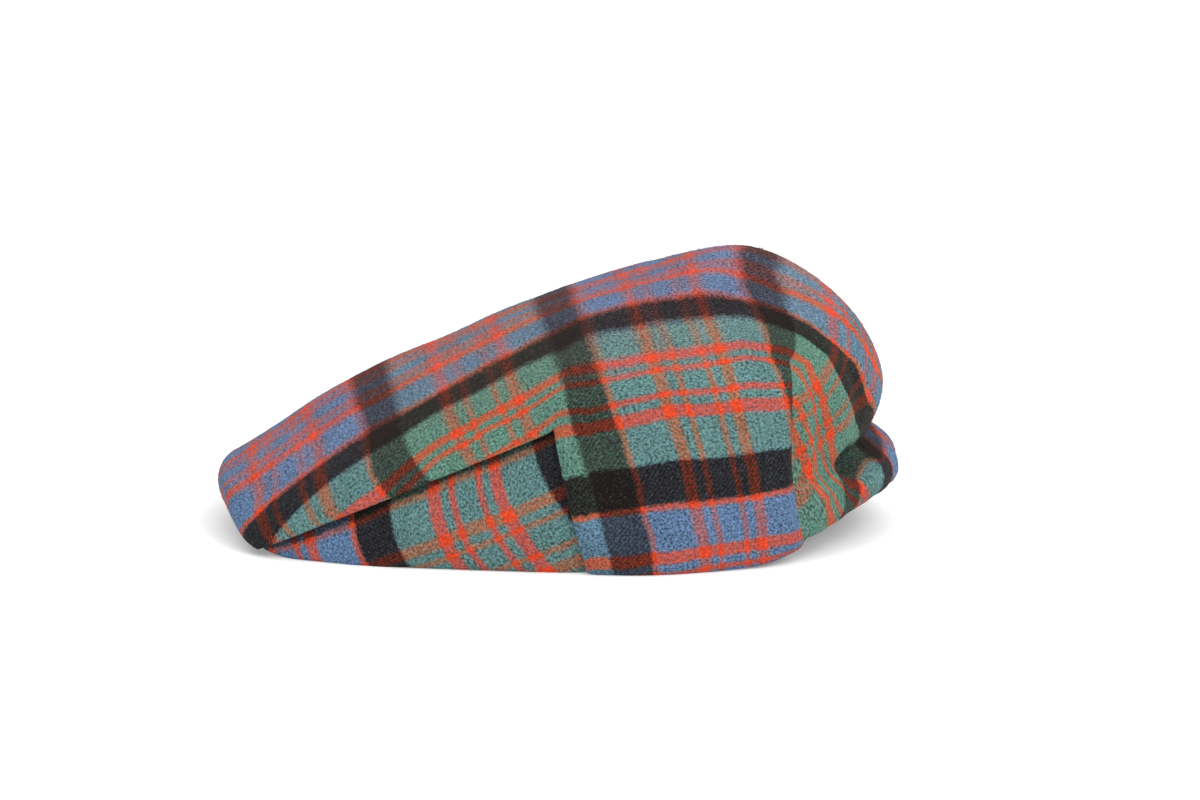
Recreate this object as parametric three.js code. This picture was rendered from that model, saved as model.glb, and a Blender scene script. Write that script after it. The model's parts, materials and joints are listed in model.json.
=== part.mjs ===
// Flat cap of brushed tartan wool: a one-piece crown pulled down over a stiff arched peak,
// with a wedge-shaped gusset let in under the crown's overhanging edge at each side.
// Millimetres, +Z up. The peak points to -Y and the wearer's left is +X.
// The cap stands on its lower edge, whose long straight sides lie flat at z = 0.

import * as THREE from 'three';

// ---- Cloth and clearances
const CROWN_WALL = 2.2;        // crown cloth, felted face and turned-in back
const GUSSET_WALL = 1.8;       // gusset cloth
const PEAK_THICK = 3.0;        // covered peak board
const GAP = 0.5;               // clearance between neighbouring pieces
const LAP_GAP = 0.8;           // clearance under the crown where a gusset laps it
const LAP = 5;                 // how far a gusset runs on under the crown's edge
const PEAK_LIFT = 0.4;         // peak's underside above the lower edge
const PEAK_BEVEL = 1.8;        // slope of the peak's rolled outer edge

// ---- Overall form
const AXIS_Y = 30.25;          // vertical axis that the sections turn about
const AXIS_Z = 102.0;          // height of the roof on that axis
const HEAD_HALF_WIDTH = 70.5;  // half width of the head opening at the peak's ends
const HEAD_FRONT = 97;         // reach of the head opening forward of its centre
const HEAD_CENTRE_Y = 15.25;
const BROW_Z = 34;             // peak's underside at the middle of the brow
const BROW_END_Z = 2;          // and at its two ends
const PEAK_END_AZ = 66;        // azimuth where the peak's horns stop, degrees

// Radial sections of the outer surface. az is measured from the front, in degrees.
// Each level has its radius from the axis and its height: the lower rim, the middle of
// the wall, the shoulder edge, the slope of the roof, and the crest of the roof.
const SECTIONS = [
  { az:   0, rimR: 170.7, rimZ:  17.7, wallR: 168.4, wallZ:  23.5, edgeR: 161.1, edgeZ:  28.8, roofR: 112.9, roofZ:  60.8, crestR:  51.9, crestZ:  85.9 },
  { az:  10, rimR: 167.6, rimZ:  13.4, wallR: 166.9, wallZ:  21.1, edgeR: 159.4, edgeZ:  26.8, roofR: 110.5, roofZ:  57.6, crestR:  52.4, crestZ:  86.3 },
  { az:  20, rimR: 160.6, rimZ:   3.7, wallR: 159.4, wallZ:  12.6, edgeR: 153.3, edgeZ:  20.6, roofR: 107.6, roofZ:  54.2, crestR:  52.8, crestZ:  85.9 },
  { az:  30, rimR: 136.2, rimZ:   0.0, wallR: 135.0, wallZ:  12.6, edgeR: 129.0, edgeZ:  27.0, roofR:  93.5, roofZ:  60.0, crestR:  48.7, crestZ:  87.5 },
  { az:  44, rimR: 109.5, rimZ:   0.0, wallR: 109.5, wallZ:  17.0, edgeR: 104.0, edgeZ:  39.0, roofR:  78.0, roofZ:  69.5, crestR:  42.3, crestZ:  91.2 },
  { az:  68, rimR:  87.7, rimZ:   0.0, wallR:  87.6, wallZ:  30.0, edgeR:  83.0, edgeZ:  61.0, roofR:  61.0, roofZ:  83.5, crestR:  32.5, crestZ:  96.8 },
  { az:  95, rimR:  84.5, rimZ:   0.0, wallR:  84.2, wallZ:  35.0, edgeR:  78.5, edgeZ:  68.5, roofR:  58.5, roofZ:  88.8, crestR:  30.4, crestZ: 101.4 },
  { az: 114, rimR:  85.2, rimZ:   0.0, wallR:  88.0, wallZ:  36.0, edgeR:  84.5, edgeZ:  69.0, roofR:  65.0, roofZ:  90.0, crestR:  35.0, crestZ: 103.8 },
  { az: 131, rimR:  92.3, rimZ:   3.0, wallR:  95.6, wallZ:  37.0, edgeR:  93.3, edgeZ:  68.0, roofR:  74.0, roofZ:  92.0, crestR:  41.6, crestZ: 106.9 },
  { az: 142, rimR:  97.2, rimZ:  10.8, wallR:  98.5, wallZ:  38.9, edgeR:  98.6, edgeZ:  65.0, roofR:  79.0, roofZ:  92.0, crestR:  43.6, crestZ: 109.1 },
  { az: 160, rimR: 104.6, rimZ:  18.9, wallR: 100.1, wallZ:  40.5, edgeR: 102.4, edgeZ:  62.4, roofR:  84.1, roofZ:  91.0, crestR:  45.7, crestZ: 112.1 },
  { az: 180, rimR: 109.6, rimZ:  19.6, wallR: 100.3, wallZ:  41.5, edgeR: 102.5, edgeZ:  63.5, roofR:  86.8, roofZ:  91.4, crestR:  46.6, crestZ: 114.5 },
];
const LEVELS = ['crest', 'roof', 'edge', 'wall', 'rim'];   // from the top down
const KNOT_POWER = 0.6;                                    // spacing of the profile's knots

// Folds of the gathered back, each pushed in (-) or out (+) along the radius.
// A fold is centred on az, spreads azHalf to each side with the given squareness, sits at
// height z, sinks by fall for each degree away from az, and is zHalf tall to each side.
const FOLDS = [
  { name: 'rear_crease', az: 180, azHalf: 31.0, square: 4, z: 43.5, fall: 0.22, zHalf:  5.0, push: -4.2 },
  { name: 'crease_pit',  az: 153, azHalf:  8.0, square: 2, z: 37.0, fall: 0.00, zHalf:  6.0, push: -3.2 },
  { name: 'hem_roll',    az: 180, azHalf: 31.0, square: 4, z: 30.5, fall: 0.10, zHalf:  7.5, push:  4.4 },
  { name: 'back_ridge',  az: 149, azHalf:  4.5, square: 2, z: 72.0, fall: 0.00, zHalf: 26.0, push:  1.6 },
  { name: 'back_valley', az: 140, azHalf:  4.0, square: 2, z: 62.0, fall: 0.00, zHalf: 26.0, push: -1.4 },
];
// The dart at each rear corner is a shallow groove where the side meets the back.
const DART = { az: 133, topZ: 84, half: 2.6, depth: 1.1 };

// Seams of the gusset in the side view: up from the tip along a straight edge, then down
// a slightly bowed edge to the foot.
const SEAM = { tipY: -111.95, tipZ: 7.2, topY: -0.35, topZ: 57.9, footY: 13.35, bow: 0.8 };

// ---- Mesh density
const CROWN_COLUMNS = { lip: 5, seam: 12, back_seam: 6, rear: 20 };   // in each half
const CROWN_ROWS = { roof: 8, wall: 11, split: 0.56 };
const GUSSET_GRID = { along: 18, down: 5 };
const PEAK_GRID = { across: 36, deep: 5 };

// ---- Outer surface ---------------------------------------------------------------------

const RAD = Math.PI / 180;
const lerp = (a, b, t) => a + (b - a) * t;
const smooth = (a, b, x) => { const t = Math.min(1, Math.max(0, (x - a) / (b - a))); return t * t * (3 - 2 * t); };

// The sections, mirrored past the front and the back so that the spline is level there.
const AROUND = [
  ...[2, 1].map(i => ({ ...SECTIONS[i], az: -SECTIONS[i].az })),
  ...SECTIONS,
  ...[2, 3].map(i => { const s = SECTIONS[SECTIONS.length - i]; return { ...s, az: 360 - s.az }; }),
];

// One column of the section table at any azimuth, by a cubic through the rows.
function column(key, az) {
  let k = 1;
  while (k < AROUND.length - 3 && az >= AROUND[k + 1].az) k++;
  const slopeAt = i => {
    const h0 = AROUND[i].az - AROUND[i - 1].az, h1 = AROUND[i + 1].az - AROUND[i].az;
    const d0 = (AROUND[i][key] - AROUND[i - 1][key]) / h0, d1 = (AROUND[i + 1][key] - AROUND[i][key]) / h1;
    return (d0 * h1 + d1 * h0) / (h0 + h1);
  };
  const h = AROUND[k + 1].az - AROUND[k].az, t = (az - AROUND[k].az) / h, t2 = t * t, t3 = t2 * t;
  return (2 * t3 - 3 * t2 + 1) * AROUND[k][key] + (t3 - 2 * t2 + t) * h * slopeAt(k)
    + (3 * t2 - 2 * t3) * AROUND[k + 1][key] + (t3 - t2) * h * slopeAt(k + 1);
}

// Azimuth folded on to one half, because the cap is the same on both sides.
const halfAz = az => { const a = ((az % 360) + 360) % 360; return a > 180 ? 360 - a : a; };

// Profile knots at an azimuth: the crest beyond the axis, the axis, the five levels, and a
// last knot carried on below the rim.
function profileKnots(az) {
  const a = halfAz(az), b = halfAz(az + 180);
  const pts = [[-column('crestR', b), column('crestZ', b)], [0, AXIS_Z]];
  for (const level of LEVELS) pts.push([column(level + 'R', a), column(level + 'Z', a)]);
  const [w, r] = pts.slice(-2);
  pts.push([2 * r[0] - w[0], 2 * r[1] - w[1]]);
  const knots = [0];
  for (let i = 1; i < pts.length; i++)
    knots.push(knots[i - 1] + Math.hypot(pts[i][0] - pts[i - 1][0], pts[i][1] - pts[i - 1][1]) ** KNOT_POWER);
  return { pts, knots };
}

// Point of the outer surface: s runs from 0 on the axis to 1 on the rim.
function surfacePoint(az, s) {
  const { pts, knots } = profileKnots(az);
  const last = pts.length - 2, t = lerp(knots[1], knots[last], s);
  let k = 1;
  while (k < last - 1 && t >= knots[k + 1]) k++;
  const [t0, t1, t2, t3] = [k - 1, k, k + 1, k + 2].map(i => knots[i]);
  const mix = (ta, tb, a, b) => ((tb - t) * a + (t - ta) * b) / (tb - ta);
  const along = c => {
    const [p0, p1, p2, p3] = [k - 1, k, k + 1, k + 2].map(i => pts[i][c]);
    const a1 = mix(t0, t1, p0, p1), a2 = mix(t1, t2, p1, p2), a3 = mix(t2, t3, p2, p3);
    return mix(t1, t2, mix(t0, t2, a1, a2), mix(t1, t3, a2, a3));
  };
  let r = along(0);
  const z = Math.max(0, along(1)), a = halfAz(az);
  for (const f of FOLDS) {
    const off = Math.abs(a - f.az);
    r += f.push * Math.exp(-((off / f.azHalf) ** f.square)) * Math.exp(-(((z - (f.z - f.fall * off)) / f.zHalf) ** 2));
  }
  r -= DART.depth * Math.exp(-(((a - DART.az) / DART.half) ** 2)) * (1 - smooth(DART.topZ - 24, DART.topZ, z));
  return new THREE.Vector3(r * Math.sin(az * RAD), AXIS_Y - r * Math.cos(az * RAD), z);
}

// Outward normal by differences; on the axis it is taken over the whole ring.
function surfaceNormal(az, s) {
  const e = 0.004, d = 0.6, sc = Math.max(s, 0.03);
  const down = surfacePoint(az, Math.min(1, sc + e)).sub(surfacePoint(az, sc - e));
  const round = surfacePoint(az + d, sc).sub(surfacePoint(az - d, sc));
  return down.cross(round).normalize();
}

// Point a distance inside the outer surface. On the rim it moves level, so that the lower
// edge of every piece is flat.
function insetPoint(az, s, depth) {
  const p = surfacePoint(az, s), n = surfaceNormal(az, s);
  if (s > 0.9999) n.setZ(0).normalize();
  return p.addScaledVector(n, -depth);
}

// ---- Seams -----------------------------------------------------------------------------

function solve(f, lo, hi) {
  const sign = Math.sign(f(lo));
  for (let i = 0; i < 50; i++) { const mid = (lo + hi) / 2; if (Math.sign(f(mid)) === sign) lo = mid; else hi = mid; }
  return (lo + hi) / 2;
}
const SLOPE = (SEAM.topZ - SEAM.tipZ) / (SEAM.topY - SEAM.tipY);
const aboveSeam = (p, lap) => p.z - (SEAM.tipZ + SLOPE * (p.y - SEAM.tipY)) - lap * Math.hypot(1, SLOPE);
const behindSeam = (p, lap) =>
  p.y - (SEAM.footY - (SEAM.footY - SEAM.topY) * Math.max(0, p.z / SEAM.topZ) ** SEAM.bow) - lap;

const seamS = (az, lap) => solve(s => aboveSeam(surfacePoint(az, s), lap), 0.35, 1);
const backSeamS = (az, lap) => solve(s => behindSeam(surfacePoint(az, s), lap), 0.35, 1);
const tipAz = solve(az => aboveSeam(surfacePoint(az, 1), 0), 12, 40);
const topAz = lap => solve(az => behindSeam(surfacePoint(az, seamS(az, lap)), lap), 50, 85);
const footAz = lap => solve(az => behindSeam(surfacePoint(az, 1), lap), 60, 100);

// ---- Closed shells ---------------------------------------------------------------------

// A closed body from an outer and an inner grid of points, both indexed [i][j].
// With wrap set, i runs round a ring, and the first row of each grid is one point.
function shell(outer, inner, wrap) {
  const pos = [], tri = [], put = p => pos.push(p.x, p.y, p.z) / 3 - 1;
  const index = grid => {
    const pole = wrap ? put(grid[0][0]) : -1;
    return grid.map(col => col.map((p, j) => (wrap && j === 0 ? pole : put(p))));
  };
  const o = index(outer), n = index(inner), ni = o.length, nj = o[0].length;
  const face = (a, b, c) => { if (a !== b && b !== c && c !== a) tri.push(a, b, c); };
  const quad = (a, b, c, d) => { face(a, b, c); face(a, c, d); };
  const columns = wrap ? ni : ni - 1;
  for (let i = 0; i < columns; i++) {
    const k = (i + 1) % ni;
    for (let j = 0; j < nj - 1; j++) {
      quad(o[i][j], o[i][j + 1], o[k][j + 1], o[k][j]);
      quad(n[i][j], n[k][j], n[k][j + 1], n[i][j + 1]);
    }
    quad(o[i][nj - 1], n[i][nj - 1], n[k][nj - 1], o[k][nj - 1]);
    if (!wrap) quad(o[i][0], o[k][0], n[k][0], n[i][0]);
  }
  if (!wrap) for (let j = 0; j < nj - 1; j++) {
    quad(o[0][j], n[0][j], n[0][j + 1], o[0][j + 1]);
    quad(o[ni - 1][j], o[ni - 1][j + 1], n[ni - 1][j + 1], n[ni - 1][j]);
  }
  const geometry = new THREE.BufferGeometry();
  geometry.setAttribute('position', new THREE.Float32BufferAttribute(pos, 3));
  geometry.setIndex(tri);
  geometry.computeVertexNormals();
  return geometry;
}

const steps = (a, b, n) => Array.from({ length: n }, (_, i) => lerp(a, b, i / n));

// ---- Crown -----------------------------------------------------------------------------

function crownGeometry() {
  const top = topAz(0), foot = footAz(0), c = CROWN_COLUMNS;
  const half = [
    ...steps(0, tipAz, c.lip), ...steps(tipAz, top, c.seam),
    ...steps(top, foot, c.back_seam), ...steps(foot, 180, c.rear), 180,
  ];
  const azimuths = [...half, ...half.slice(1, -1).reverse().map(a => 360 - a)];
  const edge = az => {
    const a = halfAz(az);
    if (a <= tipAz || a >= foot) return 1;
    return a <= top ? seamS(a, 0) : backSeamS(a, 0);
  };
  const rows = [
    ...steps(0, CROWN_ROWS.split, CROWN_ROWS.roof),
    ...steps(CROWN_ROWS.split, 1, CROWN_ROWS.wall), 1,
  ];
  const grid = depth => azimuths.map(az => {
    const s1 = edge(az);
    return rows.map(f => f === 0
      ? new THREE.Vector3(0, AXIS_Y, AXIS_Z - depth)
      : insetPoint(az, f * s1, depth));
  });
  return shell(grid(0), grid(CROWN_WALL), true);
}

// ---- Gussets ---------------------------------------------------------------------------

function gussetGeometry(side) {
  const topEnd = topAz(LAP), footEnd = footAz(LAP), g = GUSSET_GRID;
  const grid = depth => Array.from({ length: g.along + 1 }, (_, i) => {
    const u = i / g.along, azTop = lerp(tipAz, topEnd, u), azFoot = lerp(tipAz, footEnd, u), sTop = seamS(azTop, LAP);
    return Array.from({ length: g.down + 1 }, (_, j) => {
      const v = j / g.down, p = insetPoint(lerp(azTop, azFoot, v), lerp(sTop, 1, v), depth);
      p.x *= side;
      return p;
    });
  });
  const outer = grid(CROWN_WALL + LAP_GAP), inner = grid(CROWN_WALL + LAP_GAP + GUSSET_WALL);
  return side > 0 ? shell(outer, inner, false) : shell(outer.reverse(), inner.reverse(), false);
}

// ---- Peak ------------------------------------------------------------------------------

function peakGeometry() {
  const browEnd = Math.acos((HEAD_CENTRE_Y + 4) / HEAD_FRONT);
  const browHalf = HEAD_HALF_WIDTH * Math.sin(browEnd);
  const grid = isTop => Array.from({ length: PEAK_GRID.across + 1 }, (_, i) => {
    const w = 2 * i / PEAK_GRID.across - 1, az = w * PEAK_END_AZ, psi = w * browEnd;
    const clear = lerp(CROWN_WALL + GAP, CROWN_WALL + LAP_GAP + GUSSET_WALL + GAP, smooth(tipAz - 5, tipAz - 1, Math.abs(az)));
    const lip = insetPoint(az, 1, clear + (isTop ? PEAK_BEVEL : 0));
    const brow = new THREE.Vector3(HEAD_HALF_WIDTH * Math.sin(psi), HEAD_CENTRE_Y - HEAD_FRONT * Math.cos(psi), 0);
    brow.z = lerp(BROW_END_Z, BROW_Z, 1 - (brow.x / browHalf) ** 2);
    lip.z += PEAK_LIFT;
    return Array.from({ length: PEAK_GRID.deep + 1 }, (_, j) => {
      const p = lip.clone().lerp(brow, j / PEAK_GRID.deep);
      if (isTop) p.z += PEAK_THICK;
      return p;
    });
  });
  return shell(grid(false), grid(true), false);
}

// ---- Assembly --------------------------------------------------------------------------

const cap = new THREE.Group();
cap.name = 'flat_cap';
function add(name, geometry, color, roughness) {
  const mesh = new THREE.Mesh(geometry, new THREE.MeshStandardMaterial({ color, roughness, metalness: 0 }));
  mesh.name = name;
  mesh.material.name = name + '_cloth';
  cap.add(mesh);
}
add('crown', crownGeometry(), 0x5f8a80, 0.95);
add('side_gusset_left', gussetGeometry(1), 0x5c8278, 0.95);
add('side_gusset_right', gussetGeometry(-1), 0x5c8278, 0.95);
add('peak', peakGeometry(), 0x4d5a66, 0.95);

export default cap;
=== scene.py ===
"""Flat cap of brushed tartan wool: its cloth pieces and their finish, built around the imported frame.
Sizes in the tables are millimetres; the meshes are metres. The peak points to -Y and the wearer's left is +X."""

import json
import math

import bpy
import numpy as np
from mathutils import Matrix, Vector

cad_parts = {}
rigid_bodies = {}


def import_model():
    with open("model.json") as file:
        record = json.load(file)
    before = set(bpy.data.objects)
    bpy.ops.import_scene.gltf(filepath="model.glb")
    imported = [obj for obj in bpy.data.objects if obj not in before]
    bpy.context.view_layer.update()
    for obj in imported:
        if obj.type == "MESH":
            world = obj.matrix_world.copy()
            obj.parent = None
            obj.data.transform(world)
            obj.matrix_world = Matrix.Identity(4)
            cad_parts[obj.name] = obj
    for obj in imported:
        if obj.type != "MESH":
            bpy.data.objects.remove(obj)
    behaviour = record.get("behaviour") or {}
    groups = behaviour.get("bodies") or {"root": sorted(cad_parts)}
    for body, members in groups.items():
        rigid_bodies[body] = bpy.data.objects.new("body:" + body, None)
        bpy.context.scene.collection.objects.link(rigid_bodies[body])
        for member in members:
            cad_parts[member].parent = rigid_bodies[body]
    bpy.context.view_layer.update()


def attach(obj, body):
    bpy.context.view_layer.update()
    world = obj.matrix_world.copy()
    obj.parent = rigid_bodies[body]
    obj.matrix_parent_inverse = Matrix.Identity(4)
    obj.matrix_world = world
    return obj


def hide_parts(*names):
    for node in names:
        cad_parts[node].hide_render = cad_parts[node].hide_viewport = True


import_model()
MM = 0.001
SEED = 41

# ---- Camera, at the photograph's angle ---------------------------------------------------

ELEVATION, DISTANCE, TARGET = 14.0, 1.6, Vector((0.0, 0.01745, 0.0507))
FRAME_WIDTH, FOCAL_PIXELS = 1200, 3897.6

cam_data = bpy.data.cameras.new("photo_camera")
cam = bpy.data.objects.new("photo_camera", cam_data)
bpy.context.scene.collection.objects.link(cam)
cam_data.sensor_width = 36.0
cam_data.lens = FOCAL_PIXELS / FRAME_WIDTH * cam_data.sensor_width
_el = math.radians(ELEVATION)
_back = Vector((math.cos(_el), 0.0, math.sin(_el)))
cam.location = TARGET + _back * DISTANCE
cam.rotation_euler = (-_back).to_track_quat("-Z", "Y").to_euler()
cam_data.clip_start, cam_data.clip_end = 0.05, 40.0
bpy.context.scene.camera = cam

# ---- Form of the cap ---------------------------------------------------------------------

AXIS_Y, AXIS_Z = 30.25, 102.0          # vertical axis the sections turn about, roof height on it
CROWN_WALL, GUSSET_WALL, PEAK_THICK = 2.2, 1.8, 3.0
GUSSET_DEPTH, LAP = 3.0, 5.0
HEAD_HALF_WIDTH, HEAD_FRONT, HEAD_CENTRE_Y = 70.5, 97.0, 15.25
BROW_Z, BROW_END_Z, PEAK_END_AZ, PEAK_LIFT = 34.0, 2.0, 66.0, 0.4
ROLL = 1.1                             # radius of a folded cloth edge

# azimuth from the front, then radius and height of the rim, wall, edge, roof and crest
SECTIONS = np.array([
    (0, 170.7, 17.7, 168.4, 23.5, 161.1, 28.8, 112.9, 60.8, 51.9, 85.9),
    (10, 167.6, 13.4, 166.9, 21.1, 159.4, 26.8, 110.5, 57.6, 52.4, 86.3),
    (20, 160.6, 3.7, 159.4, 12.6, 153.3, 20.6, 107.6, 54.2, 52.8, 85.9),
    (30, 136.2, 0.0, 135.0, 12.6, 129.0, 27.0, 93.5, 60.0, 48.7, 87.5),
    (44, 109.5, 0.0, 109.5, 17.0, 104.0, 39.0, 78.0, 69.5, 42.3, 91.2),
    (68, 87.7, 0.0, 87.6, 30.0, 83.0, 61.0, 61.0, 83.5, 32.5, 96.8),
    (95, 84.5, 0.0, 84.2, 35.0, 78.5, 68.5, 58.5, 88.8, 30.4, 101.4),
    (114, 85.2, 0.0, 88.0, 36.0, 84.5, 69.0, 65.0, 90.0, 35.0, 103.8),
    (131, 92.3, 3.0, 95.6, 37.0, 93.3, 68.0, 74.0, 92.0, 41.6, 106.9),
    (142, 97.2, 10.8, 98.5, 38.9, 98.6, 65.0, 79.0, 92.0, 43.6, 109.1),
    (160, 104.6, 18.9, 100.1, 40.5, 102.4, 62.4, 84.1, 91.0, 45.7, 112.1),
    (180, 109.6, 19.6, 100.3, 41.5, 102.5, 63.5, 86.8, 91.4, 46.6, 114.5),
], float)
# folds of the gathered back: azimuth, half width, squareness, height, fall, half height, push
FOLDS = [
    (180.0, 31.0, 4, 43.5, 0.22, 5.0, -4.2),    # rear crease
    (153.0, 8.0, 2, 37.0, 0.00, 6.0, -3.2),     # pit at the crease's end
    (180.0, 31.0, 4, 30.5, 0.10, 7.5, 4.4),     # bulging hem
    (149.0, 4.5, 2, 72.0, 0.00, 26.0, 1.6),     # ridge down the back
    (140.0, 4.0, 2, 62.0, 0.00, 26.0, -1.4),    # valley beside it
]
DART_AZ, DART_TOP_Z, DART_HALF, DART_DEPTH, DART_TOP_S = 133.0, 84.0, 2.6, 1.1, 0.545
DART_COLUMN = 133.5
TIP_Y, TIP_Z, TOP_Y, TOP_Z, FOOT_Y, BOW = -111.95, 7.2, -0.35, 57.9, 13.35, 0.8
KNOT_POWER = 0.6

_az = SECTIONS[:, 0]
_A = np.concatenate([-_az[2:0:-1], _az, 360 - _az[-2:-4:-1]])
_V = np.concatenate([SECTIONS[2:0:-1], SECTIONS, SECTIONS[-2:-4:-1]])[:, 1:]
_h = np.diff(_A)
_d = np.diff(_V, axis=0) / _h[:, None]
_M = np.zeros_like(_V)
_M[1:-1] = (_d[:-1] * _h[1:, None] + _d[1:] * _h[:-1, None]) / (_h[1:] + _h[:-1])[:, None]


def step(a, b, x):
    t = np.clip((x - a) / (b - a), 0, 1)
    return t * t * (3 - 2 * t)


def half(az):
    a = np.mod(az, 360.0)
    return np.where(a > 180, 360 - a, a)


def columns(q):
    """The section table's columns at azimuth q, by a cubic through its rows."""
    k = np.clip(np.searchsorted(_A, q, side="right") - 1, 1, len(_A) - 3)
    h = _A[k + 1] - _A[k]
    t = ((q - _A[k]) / h)[..., None]
    h = h[..., None]
    return ((2 * t**3 - 3 * t**2 + 1) * _V[k] + (t**3 - 2 * t**2 + t) * h * _M[k]
            + (3 * t**2 - 2 * t**3) * _V[k + 1] + (t**3 - t**2) * h * _M[k + 1])


def surf(az, s):
    """Outer surface: s runs from 0 on the axis to 1 on the rim."""
    az, s = np.broadcast_arrays(np.asarray(az, float), np.asarray(s, float))
    c, o = columns(half(az)), columns(half(az + 180))
    pr = np.stack([-o[..., 8], 0 * az, c[..., 8], c[..., 6], c[..., 4], c[..., 2], c[..., 0], 2 * c[..., 0] - c[..., 2]])
    pz = np.stack([o[..., 9], 0 * az + AXIS_Z, c[..., 9], c[..., 7], c[..., 5], c[..., 3], c[..., 1], 2 * c[..., 1] - c[..., 3]])
    d = np.hypot(np.diff(pr, axis=0), np.diff(pz, axis=0)) ** KNOT_POWER
    T = np.concatenate([np.zeros((1,) + az.shape), np.cumsum(d, axis=0)])
    t = T[1] + s * (T[6] - T[1])
    k = np.ones(az.shape, int)
    for i in range(2, 6):
        k = np.where(t >= T[i], i, k)

    def at(table, i):
        return np.take_along_axis(table, (k + i)[None], 0)[0]

    t0, t1, t2, t3 = (at(T, i) for i in (-1, 0, 1, 2))

    def mix(a, b, p, q):
        return ((b - t) * p + (t - a) * q) / (b - a)

    def along(points):
        p0, p1, p2, p3 = (at(points, i) for i in (-1, 0, 1, 2))
        a1, a2, a3 = mix(t0, t1, p0, p1), mix(t1, t2, p1, p2), mix(t2, t3, p2, p3)
        return mix(t1, t2, mix(t0, t2, a1, a2), mix(t1, t3, a2, a3))

    r, z, a = along(pr), np.maximum(along(pz), 0), half(az)
    for fa, fh, square, fz, fall, zh, push in FOLDS:
        off = np.abs(a - fa)
        r = r + push * np.exp(-((off / fh) ** square)) * np.exp(-(((z - (fz - fall * off)) / zh) ** 2))
    r = r - DART_DEPTH * np.exp(-(((a - DART_AZ) / DART_HALF) ** 2)) * (1 - step(DART_TOP_Z - 24, DART_TOP_Z, z))
    w = np.radians(az)
    return np.stack([r * np.sin(w), AXIS_Y - r * np.cos(w), z], -1)


def unit(v):
    return v / np.maximum(1e-12, np.linalg.norm(v, axis=-1, keepdims=True))


def normal(az, s):
    sc = np.clip(s, 0.02, 1)
    down = surf(az, np.minimum(sc + 0.004, 1)) - surf(az, sc - 0.004)
    return unit(np.cross(down, surf(az + 0.4, sc) - surf(az - 0.4, sc)))


def inset(az, s, depth):
    """Point inside the surface; on the rim it moves level."""
    n = normal(az, s)
    n = np.where((np.broadcast_to(s, np.shape(az)) > 0.9999)[..., None], unit(n * np.array([1, 1, 0])), n)
    return surf(az, s) - n * np.asarray(depth)[..., None]


# ---- Seams -------------------------------------------------------------------------------

SLOPE = (TOP_Z - TIP_Z) / (TOP_Y - TIP_Y)


def above(p, lap=0.0):
    return p[..., 2] - (TIP_Z + SLOPE * (p[..., 1] - TIP_Y)) - lap * math.hypot(1, SLOPE)


def behind(p, lap=0.0):
    return p[..., 1] - (FOOT_Y - (FOOT_Y - TOP_Y) * np.maximum(0, p[..., 2] / TOP_Z) ** BOW) - lap


def solve(f, lo, hi, n=42):
    lo, hi = np.asarray(lo, float) * 1.0, np.asarray(hi, float) * 1.0
    sign = np.sign(f(lo))
    for _ in range(n):
        m = (lo + hi) / 2
        same = np.sign(f(m)) == sign
        lo, hi = np.where(same, m, lo), np.where(same, hi, m)
    return (lo + hi) / 2


def seam_s(az, lap=0.0):
    az = np.asarray(az, float)
    return solve(lambda s: above(surf(az, s), lap), 0 * az + 0.35, 0 * az + 1.0)


def back_s(az):
    az = np.asarray(az, float)
    return solve(lambda s: behind(surf(az, s)), 0 * az + 0.35, 0 * az + 1.0)


def crossing(az, value):
    """Azimuth where the value first turns from negative to positive."""
    i = int(np.argmax(value > 0))
    return float(az[i - 1] + (az[i] - az[i - 1]) * value[i - 1] / (value[i - 1] - value[i]))


def top_az(lap):
    az = np.linspace(50.0, 85.0, 351)
    return crossing(az, behind(surf(az, seam_s(az, lap)), lap))


def foot_az(lap):
    az = np.linspace(60.0, 100.0, 2001)
    return crossing(az, behind(surf(az, np.ones_like(az)), lap))


_tip = np.linspace(40.0, 12.0, 2001)
TIP_AZ = crossing(_tip, above(surf(_tip, np.ones_like(_tip))))
TOP_AZ, FOOT_AZ = top_az(0.0), foot_az(0.0)
_e = np.unique(np.r_[np.linspace(0, 180, 721), TIP_AZ, TOP_AZ, FOOT_AZ])
_es = np.ones_like(_e)
_m = (_e > TIP_AZ) & (_e <= TOP_AZ)
_es[_m] = seam_s(_e[_m])
_m = (_e > TOP_AZ) & (_e < FOOT_AZ)
_es[_m] = back_s(_e[_m])


def edge_s(az):
    return np.interp(half(az), _e, _es)


def warp(az, s):
    """Bends the columns near the dart so that one of them runs along it."""
    lo, hi = 3 * ((0.71 - s) / 0.165) ** 2, 5 * ((s - 0.71) / 0.29) ** 2
    dart = 132 + np.where(s < 0.71, np.minimum(lo, 7), hi)
    w = np.clip(1 - np.abs(az - DART_COLUMN) / 22, 0, 1)
    return az + w * w * (3 - 2 * w) * step(0, 0.45, s) * (dart - DART_COLUMN)


def half_columns(lip, seam, back, side, rear):
    parts = [(0, TIP_AZ, lip), (TIP_AZ, TOP_AZ, seam), (TOP_AZ, FOOT_AZ, back), (FOOT_AZ, DART_COLUMN, side), (DART_COLUMN, 180, rear)]
    return np.concatenate([np.linspace(a, b, n, endpoint=False) for a, b, n in parts] + [[180.0]])


def ring(cols):
    return np.concatenate([cols, 360 - cols[-2:0:-1]])


def place(a, s):
    w = warp(half(a), s)
    return np.where(a > 180, 360 - w, w)


# ---- Lay of the tartan on the crown ------------------------------------------------------
# The crown is laid flat as its cloth was before sewing, slit at the two darts, and held to the
# lines below: number of the line in the sett, then where it crosses (azimuth, s).

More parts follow.
